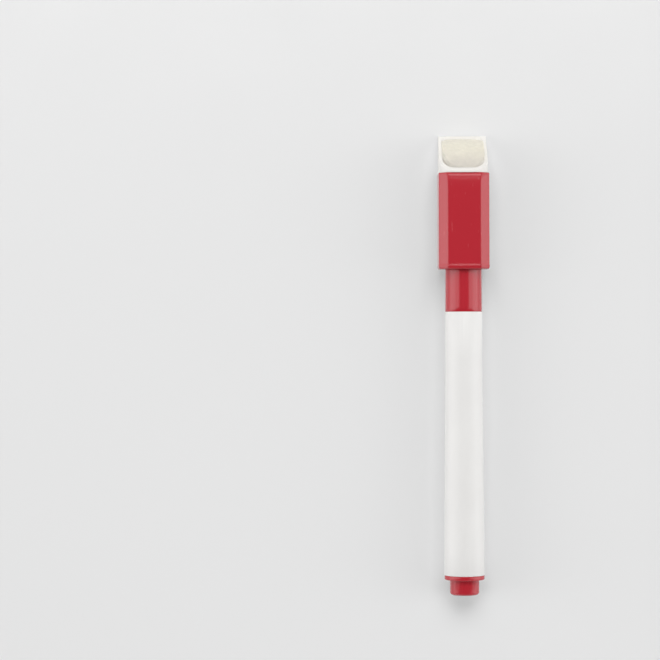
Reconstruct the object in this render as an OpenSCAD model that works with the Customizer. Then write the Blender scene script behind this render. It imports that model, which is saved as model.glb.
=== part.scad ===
// Whiteboard marker with a pull-off square cap. The cap carries a bar magnet in one
// flat side and a felt eraser in a white holder at its closed end.
//
// The marker lies along Y with the magnet face down on Z = 0. The eraser points to +Y.
// The origin is the centre of the magnet face.
//
// Every module below is drawn in its own working frame: the marker's axis is Z, Z = 0
// is the cap's mouth, +Z points to the eraser and +Y points to the magnet side.
// on_axis() lays that frame down along the row's Y axis.

/* [Cap] */
// Width of the cap over the lip at its mouth
cap_w = 13; // [12.9:0.1:14]
// Length of the cap from its mouth to its closed end
cap_len = 24.6; // [24.4:0.1:28]
// Width of the corner chamfers, measured along each flat side
cap_chamfer = 2.25; // [1.5:0.05:3]
// Height of the lip round the cap's mouth above the flat sides
lip_rise = 0.06; // [0.02:0.02:0.12]
// Depth of the counterbore that hides the front section's shoulder
mouth_depth = 0.7; // [0.5:0.1:1.2]
// Thickness of the wall between the cap's bore and the eraser socket
web_t = 1; // [0.6:0.1:1.2]
// Depth of the eraser socket
socket_depth = 4; // [3:0.1:4]

/* [Eraser] */
// Width of the eraser holder
holder_w = 12.4; // [12:0.1:12.6]
// Radius of the holder's two front corners
holder_corner = 3.8; // [2:0.1:4.2]
// Radius of the holder's two back corners
back_corner = 0.8; // [0.3:0.1:1.2]
// Wall of the eraser holder
holder_wall = 0.8; // [0.6:0.1:1]
// Height of the holder's back wall above the cap
holder_h = 10; // [8:0.1:11]
// Height of the holder's front lip above the cap
lip_h = 0.6; // [0.3:0.1:1.5]
// Distance from the top of the back wall down to the felt
felt_below_rim = 1.1; // [0.8:0.1:1.8]
// How far the felt stands out of the slanted rim at its crown
felt_proud = 1.1; // [0.6:0.1:1.6]

/* [Front section] */
// Length of the coloured grip between the cap and the barrel
grip_len = 10.9; // [8:0.1:14]
// Diameter of the grip at the cap's mouth
grip_d_front = 9.35; // [8.8:0.05:9.35]
// Diameter of the grip where it meets the barrel
grip_d_rear = 9.45; // [9.1:0.05:9.45]
// Diameter of the spigot that the cap seals on
spigot_d = 7.5; // [7.3:0.05:7.5]

/* [Nib] */
// Diameter of the fibre nib
nib_d = 4; // [3.6:0.1:4]
// Length of the bullet-shaped tip
nib_tip_len = 2.9; // [2:0.1:3.2]

/* [Barrel] */
// Length of the white barrel
barrel_len = 67.7; // [60:0.1:80]
// Outer diameter of the barrel where it meets the grip
barrel_d_front = 9.45; // [9.45:0.05:9.7]
// Outer diameter of the barrel at the tail
barrel_d_rear = 10.3; // [10.1:0.05:10.6]
// Number of ribs that centre the ink filler in the barrel
barrel_ribs = 4; // [3:1:6]

/* [Tail plug] */
// Diameter of the tail plug's flange
flange_d = 10.3; // [9.6:0.05:10.6]
// Thickness of the tail plug's flange
flange_t = 1.1; // [0.8:0.05:1.6]
// Length of the stub beyond the flange
stub_len = 3.95; // [3:0.05:6]
// Rounding of the stub's end
stub_round = 0.75; // [0.3:0.05:1]

/* [Magnet] */
// Length of the bar magnet
magnet_len = 14; // [10:0.5:18]
// Width of the bar magnet
magnet_w = 6; // [4:0.5:7]
// Thickness of the bar magnet
magnet_t = 1.2; // [0.8:0.1:1.2]

/* [Hidden] */
$fn = 96;

red = "#b72e37";
white = "#ecebe8";
cut = 1;                 // overshoot of every cutting tool
slip = 0.02;             // radial clearance of the pressed joints
run = 0.07;              // radial clearance of the cap on the spigot

// Stations along the axis
grip_end = -grip_len;
barrel_end = grip_end - barrel_len;
flange_end = barrel_end - flange_t;
stub_end = flange_end - stub_len;
shoulder = mouth_depth - 0.1;
spigot_end = 7.5;
snout_start = 11;
snout_end = 13.2;
nib_tip = 18.2;
inner_cap_end = cap_len - socket_depth - web_t - 0.1;
holder_top = cap_len + holder_h;

// Front section
plug_d = 7.46;           // plug pressed into the barrel
plug_len = 7;
bead_d = spigot_d + 0.08; // snap bead on the spigot
bead_at = 3;
snout_d_rear = 5.5;
snout_d_front = 5.2;
cavity_d = 6.2;          // hollow behind the nib's guide
cavity_d_front = 5.6;
guide_start = 7;
nib_bore_d = nib_d + 2 * slip;
vents = 3;
vent_w = 0.5;
vent_depth = 0.3;

// Barrel and filler
barrel_bore_front = 7.5;
barrel_bore_rear = 8.2;
front_land = 12;         // straight stretch at the front of the barrel
rear_land = 8;           // straight stretch that the tail plug is pressed into
rib_w = 0.5;
rib_gap = 0.03;
film_t = 0.1;
filler_d = 7;
film_d = filler_d + 2 * film_t + 0.02;
nib_depth = 4;           // how far the nib runs into the filler
filler_front = grip_end - plug_len - 0.3;
tail_plug_len = 5;
parting = 0.1;           // edge break on both sides of the joint at the tail
filler_rear = barrel_end + tail_plug_len + 0.1;
plug_wall = 1;

// Cap
body_w = cap_w - 2 * lip_rise;
mouth_round = 0.7;       // length of the rounding from the lip's crest to the mouth
crest_end = 0.95;
lip_end = 1.07;
end_bevel = 0.12;
crown_len = 3.2;         // stretch over which two flat sides fall away to the closed end
crown_drop = 0.12;
edge_len = 0.6;          // steeper stretch at the very end
edge_drop = 0.45;
bore_d = 9;
mouth_d = 9.9;
socket_w = 9.6;
inner_cap_d = bore_d - 2 * slip;
inner_cap_bore = spigot_d + 2 * run;
seal_bore = 5.9;
seal_start = 11.6;
inner_cap_wall = 0.8;
inner_cap_step = 9.5;
glue_t = 0.1;

// Eraser
felt_gap = 0.05;
floor_t = 0.6;
felt_glue_t = 0.15;
cup_w = holder_w - 2 * holder_wall;
cup_corner = holder_corner - holder_wall;
cup_back_corner = 2;
felt_w = cup_w - 2 * felt_gap;
felt_corner = cup_corner - felt_gap;
felt_back_corner = cup_back_corner - felt_gap;
rim_slope = (holder_h - lip_h) / (holder_w - holder_wall);

// Points of an arc, from angle a0 to a1 in n steps
function arc(centre, r, a0, a1, n = 6) =
    [for (i = [0:n]) centre + r * [cos(a0 + (a1 - a0) * i / n), sin(a0 + (a1 - a0) * i / n)]];

// Height of the holder's slanted rim at depth y, where -y is the front
function rim_at(y) = cap_len + lip_h + rim_slope * (y + holder_w / 2);

// Lays a part's own frame along the row's Y axis, at the height of the cap's middle
module on_axis() translate([0, -cap_len / 2, cap_w / 2]) rotate([-90, 0, 0]) children();

// A turned shape, from [radius, station] points
module turned(points) rotate_extrude() polygon(points);

// A block centred on X and Y, from station z0 to z1
module bar(w, d, z0, z1) translate([-w / 2, -d / 2, z0]) cube([w, d, z1 - z0]);

// A square prism with front (-Y) and back corners of two radii, from station z0 to z1
module rounded_bar(w, front_r, back_r, z0, z1) {
    h = w / 2;
    translate([-h, front_r - h, z0]) cube([w, w - front_r - back_r, z1 - z0]);
    for (corner = [[-1, front_r], [1, back_r]]) {
        r = corner[1];
        translate([r - h, corner[0] > 0 ? 0 : -h, z0]) cube([w - 2 * r, h, z1 - z0]);
        for (x = [-1, 1])
            translate([x * (h - r), corner[0] * (h - r), z0]) cylinder(r = r, h = z1 - z0);
    }
}

// A profile in the YZ plane, extruded to width w across the marker
module across(w, points)
    translate([-w / 2, 0, 0]) rotate([90, 0, 90]) linear_extrude(w) polygon(points);

// Corners of a square of width w, with chamfers in proportion
function chamfered_square(w) =
    let (h = w / 2, c = cap_chamfer * w / cap_w)
    [
        [h, h - c], [h - c, h], [c - h, h], [-h, h - c],
        [-h, c - h], [c - h, -h], [h - c, -h], [h, c - h]
    ];

// White tube, straight at both ends and tapered between them
module barrel() color(white) {
    taper_start = grip_end - front_land;
    taper_end = barrel_end + rear_land;
    turned([
        [barrel_bore_front / 2, grip_end],
        [barrel_d_front / 2, grip_end],
        [barrel_d_front / 2, taper_start],
        [barrel_d_rear / 2, taper_end],
        [barrel_d_rear / 2, barrel_end + parting],
        [barrel_d_rear / 2 - parting, barrel_end],
        [barrel_bore_rear / 2, barrel_end],
        [barrel_bore_rear / 2, barrel_end + tail_plug_len + 1],
        [barrel_bore_front / 2, grip_end - plug_len - 1]
    ]);
    for (i = [0:barrel_ribs - 1]) rotate(45 + i * 360 / barrel_ribs)
        barrel_rib();
}

// One centring rib, which follows the taper of the bore
module barrel_rib() {
    rib_r = film_d / 2 + rib_gap;
    root = 0.2;          // how far the rib runs into the wall
    rib_front = filler_front - 1.5;
    rib_rear = barrel_end + tail_plug_len + 1;
    translate([-rib_w / 2, 0, 0]) rotate([90, 0, 90]) linear_extrude(rib_w) polygon([
        [rib_r, rib_rear],
        [barrel_bore_rear / 2 + root, rib_rear],
        [barrel_bore_front / 2 + root, rib_front],
        [rib_r, rib_front]
    ]);
}

// Coloured grip, spigot and nib guide in one moulding
module front_section() color(red) difference() {
    union() {
        difference() {
            turned(front_outline());
            turned([
                [0, grip_end - plug_len - cut],
                [cavity_d / 2, grip_end - plug_len - cut],
                [cavity_d / 2, -1],
                [cavity_d_front / 2, 0],
                [cavity_d_front / 2, guide_start],
                [0, guide_start]
            ]);
        }
        nib_fins();
    }
    translate([0, 0, grip_end - plug_len - cut])
        cylinder(d = nib_bore_d, h = snout_end - grip_end + plug_len + 2 * cut);
    for (i = [0:vents - 1]) rotate(60 + i * 360 / vents)
        translate([0, -vent_w / 2, guide_start - cut])
            cube([nib_bore_d / 2 + vent_depth, vent_w, snout_end - guide_start + 2 * cut]);
}

// Outside of the front section, from the plug in the barrel to the nib
function front_outline() = concat(
    [
        [0, grip_end - plug_len],
        [plug_d / 2 - 0.3, grip_end - plug_len],
        [plug_d / 2, grip_end - plug_len + 0.6],
        [plug_d / 2, grip_end],
        [grip_d_rear / 2, grip_end],
        [grip_d_front / 2, shoulder - 0.2],
        [grip_d_front / 2 - 0.2, shoulder],
        [spigot_d / 2, shoulder],
        [spigot_d / 2, bead_at - 0.5],
        [bead_d / 2, bead_at - 0.1],
        [bead_d / 2, bead_at + 0.1],
        [spigot_d / 2, bead_at + 0.5],
        [spigot_d / 2, spigot_end],
        [snout_d_rear / 2, snout_start]
    ],
    arc([snout_d_front / 2 - 0.35, snout_end - 0.35], 0.35, 0, 90, 4),
    [[0, snout_end]]
);

// Three fins that hold the nib in the hollow behind its guide
module nib_fins() {
    fin_w = 0.6;
    fin_start = grip_end - plug_len + 2;
    for (i = [0:vents - 1]) rotate(i * 360 / vents) {
        translate([0, -fin_w / 2, fin_start])
            cube([cavity_d / 2 + 0.1, fin_w, -1 - fin_start]);
        translate([0, -fin_w / 2, -1])
            cube([cavity_d_front / 2 + 0.1, fin_w, guide_start + 1 + 0.2]);
    }
}

// Bullet-tipped fibre rod that runs back into the ink filler
module nib() color("#8e1a24") {
    tip_r = 0.85;
    tip_start = nib_tip - nib_tip_len;
    nib_rear = filler_front - nib_depth;
    turned(concat(
        [[0, nib_rear], [nib_d / 2 - 0.3, nib_rear], [nib_d / 2, nib_rear + 0.5]],
        [[nib_d / 2, tip_start], [nib_d / 2 - 0.25, tip_start + 0.9]],
        arc([0, nib_tip - tip_r], tip_r, 24, 90)
    ));
}

// Bonded polyester fibre that holds the ink
module ink_filler() color("#c98f93") turned([
    [0, filler_rear],
    [filler_d / 2, filler_rear],
    [filler_d / 2, filler_front],
    [nib_bore_d / 2, filler_front],
    [nib_bore_d / 2, filler_front - nib_depth - 0.2],
    [0, filler_front - nib_depth - 0.2]
]);

// Thin film wrapped round the filler
module filler_film() color("#dfe3e4") difference() {
    translate([0, 0, filler_rear]) cylinder(d = film_d, h = filler_front - filler_rear);
    translate([0, 0, filler_rear - cut])
        cylinder(d = film_d - 2 * film_t, h = filler_front - filler_rear + 2 * cut);
}

// Flanged plug that closes the barrel, with a stub to post a cap on
module tail_plug() color(red) difference() {
    inner_end = barrel_end + tail_plug_len;
    plug_r = barrel_bore_rear / 2 - slip;
    stub_r = spigot_d / 2;
    core_r = stub_r - plug_wall;
    turned(concat(
        [
            [0, inner_end],
            [plug_r - 0.4, inner_end],
            [plug_r, inner_end - 0.8],
            [plug_r, barrel_end],
            [flange_d / 2 - parting, barrel_end],
            [flange_d / 2, barrel_end - parting],
            [flange_d / 2, flange_end + 0.15],
            [flange_d / 2 - 0.15, flange_end],
            [stub_r, flange_end]
        ],
        arc([stub_r - stub_round, stub_end + stub_round], stub_round, 0, -90),
        [[0, stub_end]]
    ));
    translate([0, 0, stub_end + plug_wall])
        cylinder(r = core_r, h = inner_end - stub_end - plug_wall + cut);
}

// Square cap shell: bore from the mouth, web, and eraser socket at the closed end
module cap_shell() color(red) difference() {
    cap_body();
    translate([0, 0, -cut]) cylinder(d = mouth_d, h = mouth_depth + cut);
    translate([0, 0, mouth_depth - cut])
        cylinder(d = bore_d, h = cap_len - socket_depth - web_t - mouth_depth + cut);
    bar(socket_w, socket_w, cap_len - socket_depth, cap_len + cut);
    magnet_pocket();
}

// Outside of the cap, with crowned ends on two of its flat sides
module cap_body() difference() {
    cap_prism();
    for (side = [0, 1]) mirror([0, side, 0]) crown_cut();
}

// Square prism with chamfered corners and a lip at its mouth, from [station, width] rings
module cap_prism() {
    rings = [
        [0, cap_w - 0.5],
        [0.2, cap_w - 0.2],
        [mouth_round, cap_w],
        [crest_end, cap_w],
        [lip_end, body_w],
        [cap_len - end_bevel, body_w],
        [cap_len, body_w - 2 * end_bevel]
    ];
    last = 8 * (len(rings) - 1);
    polyhedron(
        points = [for (r = rings) for (p = chamfered_square(r[1])) [p[0], p[1], r[0]]],
        faces = concat(
            [[0, 1, 2, 3, 4, 5, 6, 7]],
            [for (k = [0:8:last - 8]) for (i = [0:7])
                let (a = k + i, b = k + (i + 1) % 8) [a, a + 8, b + 8, b]],
            [[for (i = [7:-1:0]) last + i]]
        )
    );
}

// What falls away from a flat side towards the closed end
module crown_cut() {
    h = body_w / 2;
    across(cap_w, [
        [h, cap_len - crown_len],
        [h - crown_drop / 4, cap_len - 0.6 * crown_len],
        [h - crown_drop, cap_len - edge_len],
        [h - edge_drop, cap_len],
        [h - edge_drop, cap_len + cut],
        [cap_w, cap_len + cut],
        [cap_w, cap_len - crown_len]
    ]);
}

// Pocket in the cap's lower flat side, which takes the glue film and the magnet
module magnet_pocket() {
    fit = 0.2;
    depth = magnet_t + glue_t;
    translate([-(magnet_w + fit) / 2, cap_w / 2 - depth, (cap_len - magnet_len - fit) / 2])
        cube([magnet_w + fit, depth + cut, magnet_len + fit]);
}

// Soft liner in the cap that seals round the spigot and the nib
module inner_cap() color("#e4e2dc") turned([
    [inner_cap_bore / 2 + 0.3, shoulder + 0.05],
    [inner_cap_d / 2, shoulder + 0.05],
    [inner_cap_d / 2, inner_cap_step],
    [seal_bore / 2 + inner_cap_wall, inner_cap_step + 1],
    [seal_bore / 2 + inner_cap_wall, inner_cap_end],
    [0, inner_cap_end],
    [0, inner_cap_end - inner_cap_wall],
    [seal_bore / 2, inner_cap_end - inner_cap_wall],
    [seal_bore / 2, seal_start],
    [inner_cap_bore / 2, spigot_end + 0.7],
    [inner_cap_bore / 2, shoulder + 0.4]
]);

// Ferrite bar, flush with the cap's lower side
module magnet() color("#3a3a3c")
    translate([-magnet_w / 2, cap_w / 2 - magnet_t, (cap_len - magnet_len) / 2])
        cube([magnet_w, magnet_t, magnet_len]);

// Film of glue between the magnet and the floor of its pocket
module magnet_adhesive() color("#d8d2b8")
    translate([-magnet_w / 2 + 0.2, cap_w / 2 - magnet_t - glue_t, (cap_len - magnet_len) / 2 + 0.2])
        cube([magnet_w - 0.4, glue_t, magnet_len - 0.4]);

// White cup with a slanted rim, whose plug is pressed into the cap's socket
module eraser_holder() color(white) {
    plug_w = socket_w - 0.1;
    difference() {
        union() {
            rounded_bar(holder_w, holder_corner, back_corner, cap_len, holder_top);
            bar(plug_w, plug_w, cap_len - socket_depth + 0.1, cap_len + 0.1);
        }
        rounded_bar(cup_w, cup_corner, cup_back_corner, cap_len + floor_t, holder_top + cut);
        bar(plug_w - 2, plug_w - 2, cap_len - socket_depth - cut, cap_len - 0.5);
        rim_cut();
    }
}

// Everything in front of the holder's slanted rim
module rim_cut() {
    front = -holder_w / 2 - cut;
    back = holder_w / 2 - holder_wall;
    across(holder_w + 2 * cut, [
        [front, rim_at(front)],
        [back, rim_at(back)],
        [back, holder_top + cut],
        [front, holder_top + cut]
    ]);
}

// Felt block in the cup, with a crowned wiping face that stands out of the rim
module eraser_felt() color("#e6e1d3") intersection() {
    rounded_bar(felt_w, felt_corner, felt_back_corner, cap_len + floor_t + felt_glue_t, holder_top);
    across(felt_w + 2 * cut, concat(
        [[felt_w, cap_len], [felt_w, holder_top - felt_below_rim]],
        felt_crown(),
        [[-felt_w, rim_at(-felt_w / 2) + 0.2], [-felt_w, cap_len]]
    ));
}

// The wiping face's outline, from the back wall to the front lip
function felt_crown() =
    let (
        back = [felt_w / 2, holder_top - felt_below_rim],
        front = [-felt_w / 2, rim_at(-felt_w / 2) + 0.2],
        chord = norm(front - back),
        along = (front - back) / chord,
        out = [along[1], -along[0]],
        sag = felt_proud + felt_below_rim / 2,
        n = 10
    )
    [for (i = [0:n]) back + along * chord * i / n + out * sag * sin(180 * i / n)];

// Film of glue under the felt
module eraser_adhesive() color("#d8d2b8") {
    top = cap_len + floor_t + felt_glue_t;
    rounded_bar(felt_w - 1, felt_corner - 0.5, felt_back_corner - 0.5, cap_len + floor_t, top);
}

on_axis() barrel();
on_axis() front_section();
on_axis() nib();
on_axis() ink_filler();
on_axis() filler_film();
on_axis() tail_plug();
on_axis() cap_shell();
on_axis() inner_cap();
on_axis() magnet();
on_axis() magnet_adhesive();
on_axis() eraser_holder();
on_axis() eraser_felt();
on_axis() eraser_adhesive();
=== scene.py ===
"""Looks for a whiteboard marker with a magnetic cap and a felt eraser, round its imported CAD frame.

Metres throughout, in the part's own frame: the marker lies along Y with its eraser to +Y and its
magnet face down on Z = 0.
"""

import math

import bmesh
import bpy
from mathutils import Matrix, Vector, noise


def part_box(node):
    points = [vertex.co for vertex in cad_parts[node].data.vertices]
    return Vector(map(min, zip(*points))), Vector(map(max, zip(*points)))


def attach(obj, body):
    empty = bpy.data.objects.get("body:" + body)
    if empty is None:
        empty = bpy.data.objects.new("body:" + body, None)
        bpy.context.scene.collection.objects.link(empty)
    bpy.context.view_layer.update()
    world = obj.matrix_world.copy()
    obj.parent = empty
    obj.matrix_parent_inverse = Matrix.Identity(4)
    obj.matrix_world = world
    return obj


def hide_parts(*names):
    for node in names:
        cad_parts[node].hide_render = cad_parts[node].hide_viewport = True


MM = 0.001

# Camera: straight down on the middle of the memo board that the marker lies on
CAMERA_AT = Vector((-34.365, -27.78, 650.0)) * MM
CAMERA_ROLL = math.radians(-0.208)
CAMERA_HALF_ANGLE = math.radians(7.51)
SENSOR = 36.0

# The set: a square tabletop, a round wall and a panel standing on either side of the marker
TABLETOP_HALF = 3.0
WALL_RADIUS = 2.4
WALL_HEIGHT = 3.2
PANEL_REACH = 0.90  # how far out to the side it stands
PANEL_Y = -0.055  # where its middle is along the marker
PANEL_ALONG = 0.50
PANEL_HEIGHT = 1.55

# Brightness of the side panels as the marker sees them, and as the table does
MARKER_RADIANCE = 2.05
TABLE_RADIANCE = 2.5

# Stretch along the marker over which shade is painted on the felt's wiping face, darkest at its
# front by the cap
SHADE_PAINT_FRONT = 12.5 * MM
SHADE_PAINT_BACK = 19.0 * MM

# Shape of the felt. Its front corners face up and its back corners face the table.
# Corner radii: front right, front left, back left and back right
FELT_CORNERS = (2.95 * MM, 3.9 * MM, 2.4 * MM, 1.95 * MM)
FELT_SPARE = 0.04 * MM  # how far its sides stand out past its CAD solid
FELT_RAISED = 0.1 * MM  # how far its wiping face stands out past it
FELT_BULGE = 0.25 * MM  # how much further the middle of the face stands out
FELT_EDGE = 0.12 * MM  # radius of the edge round the face


# ---------------------------------------------------------------- node trees


class Shader:
    """One material's node tree. Each call but set adds a node and returns its output."""

    def __init__(self, name):
        self.material = bpy.data.materials.new(name)
        self.material.use_nodes = True
        self.tree = self.material.node_tree
        self.tree.nodes.clear()
        self.bsdf = self.tree.nodes.new("ShaderNodeBsdfPrincipled")
        out = self.tree.nodes.new("ShaderNodeOutputMaterial")
        self.tree.links.new(self.bsdf.outputs["BSDF"], out.inputs["Surface"])
        self.space = self.tree.nodes.new("ShaderNodeTexCoord").outputs["Object"]

    def set(self, **values):
        """Constants and links on the shader, with _ for a space in the socket's name."""
        for key, value in values.items():
            self._plug(self.bsdf.inputs[key.replace("_", " ")], value)

    def _plug(self, socket, value):
        if isinstance(value, bpy.types.NodeSocket):
            self.tree.links.new(value, socket)
        elif isinstance(value, tuple) and len(value) == 3 and socket.type == "RGBA":
            socket.default_value = (*value, 1.0)
        else:
            socket.default_value = value

    def node(self, kind, out=0, props=None, **inputs):
        """Any node, with its properties in props and its inputs named as in set."""
        n = self.tree.nodes.new(kind)
        for key, value in (props or {}).items():
            setattr(n, key, value)
        for key, value in inputs.items():
            self._plug(n.inputs[key.replace("_", " ")], value)
        return n.outputs[out]

    def stretched(self, scale, turn=(0.0, 0.0, 0.0)):
        """Coordinates turned, and then scaled by a different factor along each axis."""
        return self.node("ShaderNodeMapping", Vector=self.space, Scale=scale, Rotation=turn)

    def noise(self, scale, detail=3.0, rough=0.55, at=None, distortion=0.0):
        return self.node(
            "ShaderNodeTexNoise",
            Vector=self.space if at is None else at,
            Scale=scale,
            Detail=detail,
            Roughness=rough,
            Distortion=distortion,
        )

    def cells(self, scale):
        """Distance to the nearest of many scattered points."""
        return self.node("ShaderNodeTexVoronoi", Vector=self.space, Scale=scale)

    def spread(self, value, low, high, to_low=0.0, to_high=1.0):
        """Maps low..high to to_low..to_high, clamped."""
        n = self.tree.nodes.new("ShaderNodeMapRange")
        for key, v in zip(range(5), (value, low, high, to_low, to_high)):
            self._plug(n.inputs[key], v)
        return n.outputs[0]

    def math(self, operation, a, b=0.0):
        n = self.tree.nodes.new("ShaderNodeMath")
        n.operation = operation
        self._plug(n.inputs[0], a)
        self._plug(n.inputs[1], b)
        return n.outputs[0]

    def split(self, vector, axis):
        """One component of a vector."""
        return self.node("ShaderNodeSeparateXYZ", out=axis, Vector=vector)

    def blend(self, factor, a, b):
        """Colour a where factor is 0, and colour b where it is 1."""
        n = self.tree.nodes.new("ShaderNodeMix")
        n.data_type = "RGBA"
        factor_in, a_in, b_in, colour_out = 0, 6, 7, 2
        self._plug(n.inputs[factor_in], factor)
        self._plug(n.inputs[a_in], a)
        self._plug(n.inputs[b_in], b)
        return n.outputs[colour_out]

    def bump(self, height, depth, under=None):
        """A bump whose height of 1 stands for depth, in metres."""
        n = self.tree.nodes.new("ShaderNodeBump")
        n.inputs["Strength"].default_value = 1.0
        n.inputs["Distance"].default_value = depth
        self._plug(n.inputs["Height"], height)
        if under is not None:
            self._plug(n.inputs["Normal"], under)
        return n.outputs[0]

    def edges(self, radius):
        """A mask that is 1 on sharp edges, where a rounded normal leaves the true one."""
        rounded = self.node("ShaderNodeBevel", props={"samples": 4}, Radius=radius)
        n = self.tree.nodes.new("ShaderNodeVectorMath")
        n.operation = "DOT_PRODUCT"
        self._plug(n.inputs[0], rounded)
        self._plug(n.inputs[1], self.node("ShaderNodeNewGeometry", out="Normal"))
        cosine = n.outputs["Value"]
        return self.spread(cosine, 0.98, 0.7)


def moulded(name, colour, pale, rough=0.18, soft=0.05, scuffed=0.0):
    """Injection-moulded plastic: flow tone, orange peel, scratches, scuffs and worn edges.

    Sharp edges are shaded as if rounded to soft mm, and scuffed is how pale the scuffs are.
    """
    s = Shader(name)
    flow = s.noise(120.0, detail=2.0)
    speck = s.noise(1600.0, detail=4.0)
    hairlines = s.spread(
        s.noise(1.0, detail=2.0, rough=0.7, at=s.stretched((2600.0, 60.0, 2600.0))), 0.64, 0.78
    )
    worn = s.math("MULTIPLY", s.edges(0.22 * MM), s.spread(s.noise(700.0), 0.35, 0.7))
    tone = s.spread(flow, 0.3, 0.7, 0.0, 0.5)
    base = s.blend(tone, colour, tuple(c * 1.05 for c in colour))
    base = s.blend(s.math("MULTIPLY", worn, 0.28), base, pale)
    scuffs = None
    for turn in (0.3, -0.5, 1.1):
        one = s.noise(
            1.0, detail=1.0, at=s.stretched((3200.0, 300.0, 3200.0), (turn, 0.0, turn))
        )
        scuffs = one if scuffs is None else s.math("MAXIMUM", scuffs, one)
    scuffs = s.math(
        "MULTIPLY", s.spread(scuffs, 0.72, 0.79), s.spread(s.noise(240.0), 0.47, 0.6)
    )
    base = s.blend(s.math("MULTIPLY", scuffs, scuffed), base, pale)
    # The light that it throws on its neighbours is grey, so that no pink lies on the table
    thrown = s.node("ShaderNodeLightPath", out="Is Diffuse Ray")
    base = s.blend(thrown, base, (max(colour),) * 3)
    roughness = s.spread(speck, 0.3, 0.7, rough - 0.02, rough + 0.03)
    roughness = s.math("ADD", roughness, s.math("MULTIPLY", hairlines, 0.06))
    roughness = s.math("ADD", roughness, s.math("MULTIPLY", worn, 0.2))
    rounded = s.node("ShaderNodeBevel", props={"samples": 8}, Radius=soft * MM)
    peel = s.bump(s.noise(900.0, detail=2.0), 0.002 * MM, under=rounded)
    scratched = s.bump(s.math("MULTIPLY", hairlines, -1.0), 0.0003 * MM, under=peel)
    s.set(Base_Color=base, Roughness=roughness, Normal=scratched, IOR=1.49)
    return s.material


def felt_material(name):
    """Pressed wool felt: tangled fibres in three directions, mottled, with painted shade darkening
    its wiping face towards the cap.
    """
    s = Shader(name)
    fibres = None
    for turn, seed in ((0.4, 0.0), (1.5, 3.0), (2.6, 7.0)):
        one = s.noise(
            1.0,
            detail=3.0,
            rough=0.65,
            distortion=0.6,
            at=s.stretched((9000.0, 900.0, 2500.0), (seed * 0.3, seed * 0.2, turn)),
        )
        fibres = one if fibres is None else s.math("MAXIMUM", fibres, one)
    clumps = s.noise(900.0, detail=4.0, rough=0.6)
    mottle = s.noise(300.0, detail=3.0)
    strands = s.spread(fibres, 0.45, 0.75)
    cream = s.blend(s.spread(clumps, 0.3, 0.7), (0.76, 0.72, 0.60), (0.865, 0.82, 0.69))
    cream = s.blend(s.spread(mottle, 0.45, 0.8, 0.0, 0.3), cream, (0.67, 0.63, 0.53))
    cream = s.blend(s.spread(strands, 0.0, 1.0, 0.0, 0.25), cream, (0.87, 0.84, 0.75))
    # Painted shade: the wiping face is darkened towards its front by the cap and fades out further
    # back, mottled a little
    painted_shade = s.spread(s.split(s.space, "Y"), SHADE_PAINT_FRONT, SHADE_PAINT_BACK, 0.85, 0.0)
    painted_shade = s.math("MULTIPLY", painted_shade, s.spread(mottle, 0.3, 0.6, 0.7, 1.0))
    cream = s.blend(painted_shade, cream, (0.56, 0.52, 0.49))
    pile = s.bump(clumps, 0.10 * MM)
    pile = s.bump(strands, 0.05 * MM, under=pile)
    s.set(
        Base_Color=cream,
        Roughness=s.spread(clumps, 0.3, 0.7, 0.86, 0.97),
        Normal=pile,
        Sheen_Weight=0.35,
        Sheen_Roughness=0.5,
        Specular_IOR_Level=0.25,
    )
    return s.material


def ferrite_material(name):
    """Pressed and ground ferrite: dark grey grains, grinding lines and chipped edges."""
    s = Shader(name)
    grains = s.cells(5200.0)
    lines = s.noise(1.0, detail=2.0, at=s.stretched((200.0, 5200.0, 900.0)))
    chipped = s.math("MULTIPLY", s.edges(0.25 * MM), s.spread(s.noise(1500.0), 0.4, 0.6))
    base = s.blend(s.spread(grains, 0.1, 0.7), (0.045, 0.045, 0.048), (0.018, 0.018, 0.02))
    base = s.blend(s.math("MULTIPLY", chipped, 0.5), base, (0.12, 0.12, 0.125))
    ground = s.bump(lines, 0.004 * MM)
    s.set(
        Base_Color=base,
        Roughness=s.spread(lines, 0.3, 0.7, 0.38, 0.6),
        Normal=s.bump(grains, 0.006 * MM, under=ground),
        Specular_IOR_Level=0.7,
    )
    return s.material


def nib_material(name):
    """Bonded fibre nib, soaked with red ink, with its fibres running along the nib."""
    s = Shader(name)
    fibres = s.noise(1.0, detail=4.0, rough=0.7, at=s.stretched((9000.0, 160.0, 9000.0)))
    blots = s.noise(900.0, detail=3.0)
    ink = s.blend(s.spread(fibres, 0.3, 0.7), (0.33, 0.008, 0.014), (0.55, 0.03, 0.04))
    ink = s.blend(s.spread(blots, 0.5, 0.8, 0.0, 0.6), ink, (0.20, 0.003, 0.006))
    s.set(
        Base_Color=ink,
        Roughness=s.spread(blots, 0.3, 0.7, 0.55, 0.85),
        Normal=s.bump(fibres, 0.03 * MM),
        Specular_IOR_Level=0.4,
    )
    return s.material


def liner_material(name):
    """Natural polyethylene: milky, waxy, with a faint ink stain."""
    s = Shader(name)
    cloud = s.noise(500.0, detail=3.0)
    stain = s.spread(s.noise(260.0, detail=4.0), 0.55, 0.75, 0.0, 0.25)
    base = s.blend(s.spread(cloud, 0.3, 0.7), (0.80, 0.785, 0.75), (0.87, 0.86, 0.83))
    base = s.blend(stain, base, (0.80, 0.52, 0.50))
    s.set(
        Base_Color=base,
        Roughness=s.spread(cloud, 0.3, 0.7, 0.38, 0.5),
        Normal=s.bump(s.noise(2200.0), 0.003 * MM),
        Subsurface_Weight=0.3,
        Subsurface_Radius=(0.0012, 0.001, 0.0009),
    )
    return s.material


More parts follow.
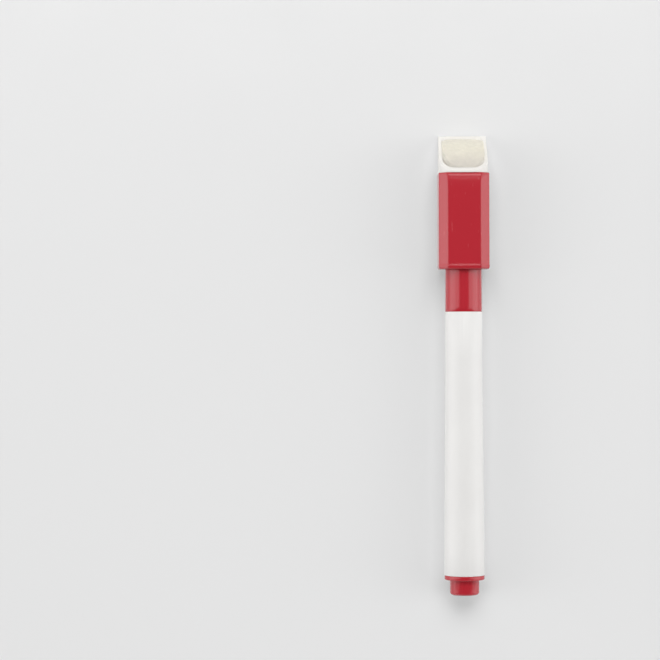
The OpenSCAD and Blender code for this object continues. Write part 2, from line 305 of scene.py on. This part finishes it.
def filler_material(name):
    """Loose polyester fibre that holds red ink."""
    s = Shader(name)
    fibres = s.noise(1.0, detail=4.0, rough=0.7, at=s.stretched((5000.0, 200.0, 5000.0)))
    soak = s.noise(150.0, detail=2.0)
    base = s.blend(s.spread(soak, 0.35, 0.65), (0.75, 0.30, 0.31), (0.58, 0.10, 0.12))
    base = s.blend(s.spread(fibres, 0.4, 0.8, 0.0, 0.5), base, (0.9, 0.72, 0.70))
    s.set(Base_Color=base, Roughness=0.9, Normal=s.bump(fibres, 0.05 * MM))
    return s.material


def film_material(name):
    """Thin pale wrap, a little wrinkled."""
    s = Shader(name)
    wrinkles = s.noise(1.0, detail=2.0, at=s.stretched((700.0, 90.0, 700.0)))
    s.set(
        Base_Color=s.blend(s.spread(wrinkles, 0.3, 0.7), (0.8, 0.8, 0.8), (0.9, 0.9, 0.9)),
        Roughness=s.spread(wrinkles, 0.3, 0.7, 0.12, 0.25),
        Normal=s.bump(wrinkles, 0.03 * MM),
    )
    return s.material


def glue_material(name):
    """Hardened glue with small bubbles."""
    s = Shader(name)
    bubbles = s.cells(1800.0)
    s.set(
        Base_Color=s.blend(s.spread(bubbles, 0.0, 0.5), (0.62, 0.55, 0.36), (0.74, 0.69, 0.52)),
        Roughness=s.spread(bubbles, 0.0, 0.5, 0.2, 0.4),
        Normal=s.bump(bubbles, 0.02 * MM),
    )
    return s.material


def floor_material(name):
    """Plain pale tabletop, which glows a little, and more so beyond the side panels.

    The panels that light the marker leave it out, so it glows as their mirror image would, where
    the marker's gloss sees it near the horizon.
    """
    s = Shader(name)
    tone = s.noise(3.0, detail=2.0)
    sideways = s.math("ABSOLUTE", s.split(s.space, "X"))
    glow = s.spread(sideways, PANEL_REACH - 0.05, PANEL_REACH + 0.1, 0.17, 0.36)
    from_gloss = s.node("ShaderNodeLightPath", out="Is Glossy Ray")
    mirrored = s.math("MULTIPLY", from_gloss, s.node("ShaderNodeFresnel", IOR=1.5))
    mirrored = s.math("MULTIPLY", mirrored, MARKER_RADIANCE)
    s.set(
        Base_Color=s.blend(s.spread(tone, 0.3, 0.7), (0.60, 0.60, 0.60), (0.62, 0.62, 0.62)),
        Roughness=s.spread(s.noise(40.0), 0.3, 0.7, 0.17, 0.22),
        Emission_Color=(1.0, 1.0, 1.0),
        Emission_Strength=s.math("ADD", glow, mirrored),
    )
    return s.material


def backdrop_material(name):
    """Plain pale wall of even tone."""
    s = Shader(name)
    s.set(Base_Color=(0.0, 0.0, 0.0), Specular_IOR_Level=0.0)
    s.set(Emission_Color=(1.0, 1.0, 1.0), Emission_Strength=0.75)
    return s.material


# ---------------------------------------------------------------- pieces


def from_mesh(name, mesh):
    """A new object with the shape of a bmesh, which is used up."""
    data = bpy.data.meshes.new(name)
    mesh.to_mesh(data)
    mesh.free()
    obj = bpy.data.objects.new(name, data)
    bpy.context.scene.collection.objects.link(obj)
    return obj


def repaint(obj, material):
    """Makes that the object's only material."""
    obj.data.materials.clear()
    obj.data.materials.append(material)


def soften(obj, width):
    """Rounds a CAD piece's sharp edges with modifiers, which leave its own mesh as it is."""
    weld = obj.modifiers.new("weld", "WELD")
    weld.merge_threshold = 0.001 * MM
    bevel = obj.modifiers.new("bevel", "BEVEL")
    bevel.width = width
    bevel.segments = 2
    bevel.limit_method = "ANGLE"
    bevel.angle_limit = math.radians(30.0)
    bevel.use_clamp_overlap = True
    bevel.harden_normals = True


def rounded_square(half, corners, share):
    """A point on a square outline with four corner radii, share of the way round from +X."""
    turn = (share % 1.0) * 4.0
    side, t = int(turn), turn - int(turn)
    corner = corners[side]
    straight = half - corner
    arc = corner * math.pi / 2
    d = t * (2 * straight + arc)
    if d < straight:
        x, y = half, d
    elif d < straight + arc:
        a = (d - straight) / corner
        x, y = straight + corner * math.cos(a), straight + corner * math.sin(a)
    else:
        x, y = straight - (d - straight - arc), half
    for _ in range(side):
        x, y = -y, x
    return x, y


def wiping_profile(node):
    """(z, y) points up a felt's wiping face, read from its CAD solid and run 1 mm past its ends."""
    lo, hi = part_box(node)
    tops = {}
    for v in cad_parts[node].data.vertices:
        z = round(v.co.z, 5)  # to 0.01 mm, which gathers the points at one height
        tops[z] = max(tops.get(z, lo.y), v.co.y)
    clear_of_base = lo.y + 0.1 * MM
    face = [(z, y) for z, y in sorted(tops.items()) if y > clear_of_base]
    return [(lo.z - MM, face[0][1]), *face, (hi.z + MM, face[-1][1])]


def height_at(profile, z):
    """A profile's y at z, on the straight line between the points either side."""
    for (z0, y0), (z1, y1) in zip(profile, profile[1:]):
        if z <= z1:
            return y0 + (z - z0) / (z1 - z0) * (y1 - y0)
    return profile[-1][1]


def roughen(mesh, above):
    """Gives a felt lumps and pile, above a height that keeps its base flat."""
    for v in mesh.verts:
        if v.co.y < above:
            continue
        p = v.co / MM
        lumps = noise.fractal(p * 1.1, 1.0, 2.0, 4)
        pile = noise.fractal(p * 5.0, 0.8, 2.0, 3)
        v.co += Vector((0.0, 1.0, 0.25)) * (lumps * 0.05 + pile * 0.03) * MM


def felt_block(name, node):
    """A felt pad in the space of its CAD solid, with a crowned wiping face and soft edges."""
    lo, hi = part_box(node)
    half = (hi.x - lo.x) / 2 + FELT_SPARE
    middle = Vector(((lo.x + hi.x) / 2, lo.y, (lo.z + hi.z) / 2))
    profile = wiping_profile(node)
    around, rings, walls = 176, 46, 10

    def face_point(share, reach):
        """A point of the wiping face, share of the way round and reach of the way out."""
        x, z = rounded_square(half, FELT_CORNERS, share)
        x, z = x * reach, z * reach
        inset = (1.0 - reach) * half
        drop = 0.0
        if inset < FELT_EDGE:
            drop = FELT_EDGE - math.sqrt(max(FELT_EDGE**2 - (FELT_EDGE - inset) ** 2, 0.0))
        bulge = FELT_BULGE * math.cos(x / half * math.pi / 2)
        y = height_at(profile, middle.z + z) - drop + bulge + FELT_RAISED
        return middle.x + x, y, middle.z + z

    mesh = bmesh.new()
    crown = mesh.verts.new(face_point(0.0, 0.0))
    loops = []
    for ring in range(1, rings + 1):
        reach = math.sin(ring / rings * math.pi / 2)
        loops.append([mesh.verts.new(face_point(i / around, reach)) for i in range(around)])
    rim = [v.co.copy() for v in loops[-1]]
    for wall in range(1, walls + 1):
        t = wall / walls
        loops.append([mesh.verts.new((p.x, p.y + (lo.y - p.y) * t, p.z)) for p in rim])
    base = mesh.verts.new(middle)

    for i in range(around):
        j = (i + 1) % around
        mesh.faces.new((crown, loops[0][j], loops[0][i]))
        for a, b in zip(loops, loops[1:]):
            mesh.faces.new((a[i], a[j], b[j], b[i]))
        mesh.faces.new((base, loops[-1][i], loops[-1][j]))
    bmesh.ops.recalc_face_normals(mesh, faces=mesh.faces)
    roughen(mesh, lo.y + 0.3 * MM)
    obj = from_mesh(name, mesh)
    for face in obj.data.polygons:
        face.use_smooth = True
    return obj


def dress():
    """Gives every CAD node its material, and the felt its own piece."""
    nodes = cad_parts
    red = (0.455, 0.021, 0.033)
    pale_red = (0.72, 0.22, 0.23)
    white = (0.785, 0.775, 0.76)
    holder_white = (0.80, 0.78, 0.745)
    looks = {
        "cap_shell": moulded("cap_red", red, pale_red, soft=0.6, scuffed=0.5),
        "front_section": moulded("section_red", red, pale_red),
        "tail_plug": moulded("plug_red", red, pale_red),
        "barrel": moulded("barrel_white", white, (0.93, 0.93, 0.92), rough=0.45),
        "eraser_holder": moulded(
            "holder_white", holder_white, (0.9, 0.89, 0.87), rough=0.5, soft=0.2
        ),
        "inner_cap": liner_material("liner"),
        "nib": nib_material("nib_fibre"),
        "ink_filler": filler_material("filler_fibre"),
        "filler_film": film_material("wrap_film"),
        "magnet": ferrite_material("ferrite"),
        "magnet_adhesive": glue_material("magnet_glue"),
        "eraser_adhesive": glue_material("felt_glue"),
        "eraser_felt": felt_material("felt_wool"),
    }
    for node, material in looks.items():
        repaint(nodes[node], material)
    for node, width in (
        ("cap_shell", 0.14),
        ("eraser_holder", 0.1),
        ("front_section", 0.06),
        ("tail_plug", 0.08),
        ("barrel", 0.06),
        ("magnet", 0.08),
    ):
        soften(nodes[node], width * MM)

    felt = felt_block("felt_pad", "eraser_felt")
    repaint(felt, looks["eraser_felt"])
    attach(felt, "cap")
    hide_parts("eraser_felt")


# ---------------------------------------------------------------- stage


def soft_panel(name, at, towards, width, height, power):
    """A studio soft box that the camera doesn't see."""
    light = bpy.data.lights.new(name, "AREA")
    light.shape = "RECTANGLE"
    light.size, light.size_y = width, height
    light.energy = power
    obj = bpy.data.objects.new(name, light)
    obj.location = at
    obj.rotation_euler = (Vector(towards) - Vector(at)).to_track_quat("-Z", "Y").to_euler()
    obj.visible_camera = False
    bpy.context.scene.collection.objects.link(obj)
    return obj


def light_only(panel, tabletop, target):
    """Lights the table without mirroring in it, or everything but the table."""
    receivers = bpy.data.collections.new(panel.name)
    receivers.objects.link(tabletop)
    panel.light_linking.receiver_collection = receivers
    if target == "table":
        panel.visible_glossy = False
    else:
        receivers.collection_objects[0].light_linking.link_state = "EXCLUDE"


def staged(name, mesh, material):
    """A piece of the set, made from a bmesh."""
    obj = from_mesh(name, mesh)
    repaint(obj, material)
    return obj


def set_stage():
    """Pale tabletop and wall, two soft boxes beside the marker, one beyond its eraser, a camera."""
    mesh = bmesh.new()
    bmesh.ops.create_grid(mesh, x_segments=8, y_segments=8, size=TABLETOP_HALF)
    tabletop = staged("tabletop", mesh, floor_material("tabletop"))

    mesh = bmesh.new()
    bmesh.ops.create_cone(
        mesh,
        segments=96,
        radius1=WALL_RADIUS,
        radius2=WALL_RADIUS,
        depth=WALL_HEIGHT,
        cap_ends=False,
    )
    staged("backdrop", mesh, backdrop_material("backdrop"))

    panel_z = PANEL_HEIGHT / 2
    for side, name in ((-1, "left"), (1, "right")):
        for target, radiance in (("marker", MARKER_RADIANCE), ("table", TABLE_RADIANCE)):
            panel = soft_panel(
                f"{name}_{target}_panel",
                at=(side * PANEL_REACH, PANEL_Y, panel_z),
                towards=(0.0, PANEL_Y, panel_z),
                width=PANEL_ALONG,
                height=PANEL_HEIGHT,
                power=radiance * math.pi * PANEL_ALONG * PANEL_HEIGHT,
            )
            light_only(panel, tabletop, target)
    soft_panel(
        "far_panel",
        at=(0.0, 0.62, 1.05),
        towards=(0.0, -0.05, 0.0),
        width=0.9,
        height=0.7,
        power=9.5,
    )

    world = bpy.data.worlds.new("studio")
    world.use_nodes = True
    background = world.node_tree.nodes["Background"]
    background.inputs["Color"].default_value = (0.93, 0.94, 0.95, 1.0)
    background.inputs["Strength"].default_value = 0.06
    scene = bpy.context.scene
    scene.world = world
    scene.view_settings.view_transform = "Standard"

    camera = bpy.data.objects.new("camera", bpy.data.cameras.new("camera"))
    camera.location = CAMERA_AT
    camera.rotation_euler = (0.0, 0.0, CAMERA_ROLL)
    camera.data.sensor_width = SENSOR
    camera.data.lens = SENSOR / 2 / math.tan(CAMERA_HALF_ANGLE)
    scene.collection.objects.link(camera)
    scene.camera = camera


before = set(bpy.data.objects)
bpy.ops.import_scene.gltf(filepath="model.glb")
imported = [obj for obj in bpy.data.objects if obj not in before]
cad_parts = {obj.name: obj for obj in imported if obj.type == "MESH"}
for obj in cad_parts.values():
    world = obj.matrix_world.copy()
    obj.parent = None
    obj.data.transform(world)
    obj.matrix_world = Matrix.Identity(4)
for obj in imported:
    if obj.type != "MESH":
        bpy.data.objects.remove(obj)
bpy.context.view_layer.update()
dress()
set_stage()
